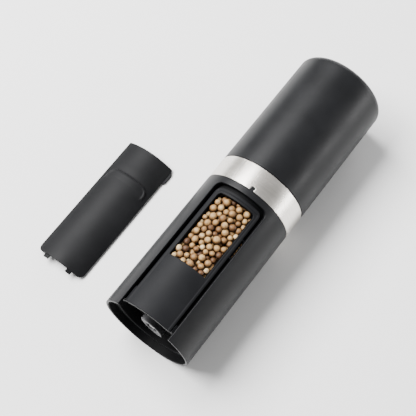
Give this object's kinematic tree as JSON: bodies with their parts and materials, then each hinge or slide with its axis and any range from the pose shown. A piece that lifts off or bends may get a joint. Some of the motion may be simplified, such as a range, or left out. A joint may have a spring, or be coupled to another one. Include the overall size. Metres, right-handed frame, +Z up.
{
  "type": "pepper mill",
  "caption": "Battery pepper mill with a side refill window, its curved cover laid beside it, ceramic burrs, planetary drive, cells and an end push button",
  "frame": {"origin": "on the surface it lies on, under the middle of the whole object: mill and cover", "axes": "+X along the mill from its open grinding end to its closed button end, +Z up from the surface it lies on, +Y from the mill towards the cover"},
  "size_m": [0.193, 0.1202, 0.0567],
  "materials": {
    "black_shell": "matte black moulded plastic",
    "chamber": "matte black moulded plastic",
    "cover": "matte black moulded plastic",
    "black_shell_upper": "matte black moulded plastic",
    "band": "brushed stainless steel",
    "seal": "black rubber",
    "outer_burr": "dark grey ceramic",
    "inner_burr": "dark grey ceramic",
    "retainer": "black plastic",
    "adjuster": "grey coated zinc die casting",
    "shaft": "ground steel",
    "collar": "dark spring steel",
    "burr_spring": "spring steel",
    "paddle": "white plastic",
    "gearbox_case": "black plastic",
    "bush": "sintered bronze",
    "ring_gear": "white plastic",
    "pinion": "brass",
    "output_carrier": "white plastic",
    "upper_carrier": "white plastic",
    "motor_plate": "zinc plated sheet steel",
    "motor_can": "zinc plated steel",
    "motor_shaft": "ground steel",
    "holder": "black plastic",
    "lid": "black plastic",
    "switch": "grey plastic",
    "cage": "black plastic",
    "button": "matte black moulded plastic",
    "button_spring": "spring steel",
    "screws": "zinc plated steel",
    "planets": "white plastic",
    "cells": "printed steel can, plain grey",
    "cell_springs": "spring steel"
  },
  "bodies": {
    "lower_unit": {"lower_housing": "black_shell", "grain_chamber": "chamber", "steel_band": "band", "neck_seal": "seal", "outer_burr": "outer_burr", "burr_retainer": "retainer", "gearbox_case": "gearbox_case", "output_bush": "bush", "ring_gear": "ring_gear", "motor_plate": "motor_plate", "motor_can": "motor_can", "battery_holder": "holder", "contact_lid": "lid", "switch_body": "switch", "retainer_screw_1": "screws", "retainer_screw_2": "screws", "retainer_screw_3": "screws", "case_screw_1": "screws", "case_screw_2": "screws", "case_screw_3": "screws", "holder_screw_1": "screws", "holder_screw_2": "screws", "holder_screw_3": "screws", "motor_screw_1": "screws", "motor_screw_2": "screws", "cell_1": "cells", "cell_2": "cells", "cell_3": "cells", "cell_4": "cells", "cell_5": "cells", "cell_6": "cells", "cell_spring_1": "cell_springs", "cell_spring_2": "cell_springs", "cell_spring_3": "cell_springs", "cell_spring_4": "cell_springs", "cell_spring_5": "cell_springs", "cell_spring_6": "cell_springs"},
    "cover": {"refill_cover": "cover"},
    "upper_shell": {"upper_housing": "black_shell_upper", "button_cage": "cage", "button_spring": "button_spring"},
    "button": {"push_button": "button"},
    "shaft": {"drive_shaft": "shaft", "spring_collar": "collar", "burr_spring": "burr_spring", "feed_paddle": "paddle", "output_carrier": "output_carrier"},
    "rotor_burr": {"inner_burr": "inner_burr"},
    "adjuster": {"adjuster_knob": "adjuster"},
    "second_sun": {"upper_carrier": "upper_carrier"},
    "motor_rotor": {"motor_shaft": "motor_shaft", "motor_pinion": "pinion"},
    "low_planet_1_spin": {"low_planet_1": "planets"},
    "low_planet_2_spin": {"low_planet_2": "planets"},
    "low_planet_3_spin": {"low_planet_3": "planets"},
    "high_planet_1_spin": {"high_planet_1": "planets"},
    "high_planet_2_spin": {"high_planet_2": "planets"},
    "high_planet_3_spin": {"high_planet_3": "planets"}
  },
  "joints": [
    {"name": "cover_lift", "type": "slide", "parent": "lower_unit", "child": "cover", "axis": [0, 0, 1], "range_m": [0, 0.08]},
    {"name": "upper_pull", "type": "slide", "parent": "lower_unit", "child": "upper_shell", "axis": [1, 0, 0], "range_m": [0, 0.09]},
    {"name": "button_press", "type": "slide", "parent": "upper_shell", "child": "button", "axis": [-1, 0, 0], "range_m": [0, 0.0025], "stiffness_N_per_m": 400, "springref_m": -0.003, "deforming": ["button_spring"]},
    {"name": "shaft_spin", "type": "hinge", "parent": "lower_unit", "child": "shaft", "pos_m": [-0.0365, -0.03177, 0.02836], "axis": [1, 0, 0], "continuous": true},
    {"name": "carrier_spin", "type": "hinge", "parent": "lower_unit", "child": "second_sun", "pos_m": [0.0135, -0.03177, 0.02836], "axis": [1, 0, 0], "continuous": true},
    {"name": "motor_spin", "type": "hinge", "parent": "lower_unit", "child": "motor_rotor", "pos_m": [0.0335, -0.03177, 0.02836], "axis": [1, 0, 0], "continuous": true},
    {"name": "burr_feed", "type": "slide", "parent": "shaft", "child": "rotor_burr", "axis": [1, 0, 0], "range_m": [0, 0.0006], "deforming": ["burr_spring"]},
    {"name": "adjuster_turn", "type": "hinge", "parent": "rotor_burr", "child": "adjuster", "pos_m": [-0.0885, -0.03177, 0.02836], "axis": [1, 0, 0], "range_deg": [0, 270]},
    {"name": "low_planet_1_turn", "type": "hinge", "parent": "shaft", "child": "low_planet_1_spin", "pos_m": [0.007, -0.03177, 0.01876], "axis": [1, 0, 0], "continuous": true},
    {"name": "low_planet_2_turn", "type": "hinge", "parent": "shaft", "child": "low_planet_2_spin", "pos_m": [0.007, -0.02346, 0.03316], "axis": [1, 0, 0], "continuous": true},
    {"name": "low_planet_3_turn", "type": "hinge", "parent": "shaft", "child": "low_planet_3_spin", "pos_m": [0.007, -0.04008, 0.03316], "axis": [1, 0, 0], "continuous": true},
    {"name": "high_planet_1_turn", "type": "hinge", "parent": "second_sun", "child": "high_planet_1_spin", "pos_m": [0.013, -0.03177, 0.01876], "axis": [1, 0, 0], "continuous": true},
    {"name": "high_planet_2_turn", "type": "hinge", "parent": "second_sun", "child": "high_planet_2_spin", "pos_m": [0.013, -0.02346, 0.03316], "axis": [1, 0, 0], "continuous": true},
    {"name": "high_planet_3_turn", "type": "hinge", "parent": "second_sun", "child": "high_planet_3_spin", "pos_m": [0.013, -0.04008, 0.03316], "axis": [1, 0, 0], "continuous": true}
  ],
  "couplings": [
    {"joint": "shaft_spin", "follows": "carrier_spin", "ratio": 0.25},
    {"joint": "motor_spin", "follows": "carrier_spin", "ratio": 4},
    {"joint": "burr_feed", "follows": "adjuster_turn", "m_per_rad": 0.00012732},
    {"joint": "low_planet_1_turn", "follows": "carrier_spin", "ratio": -0.75},
    {"joint": "low_planet_2_turn", "follows": "carrier_spin", "ratio": -0.75},
    {"joint": "low_planet_3_turn", "follows": "carrier_spin", "ratio": -0.75},
    {"joint": "high_planet_1_turn", "follows": "carrier_spin", "ratio": -3},
    {"joint": "high_planet_2_turn", "follows": "carrier_spin", "ratio": -3},
    {"joint": "high_planet_3_turn", "follows": "carrier_spin", "ratio": -3}
  ]
}
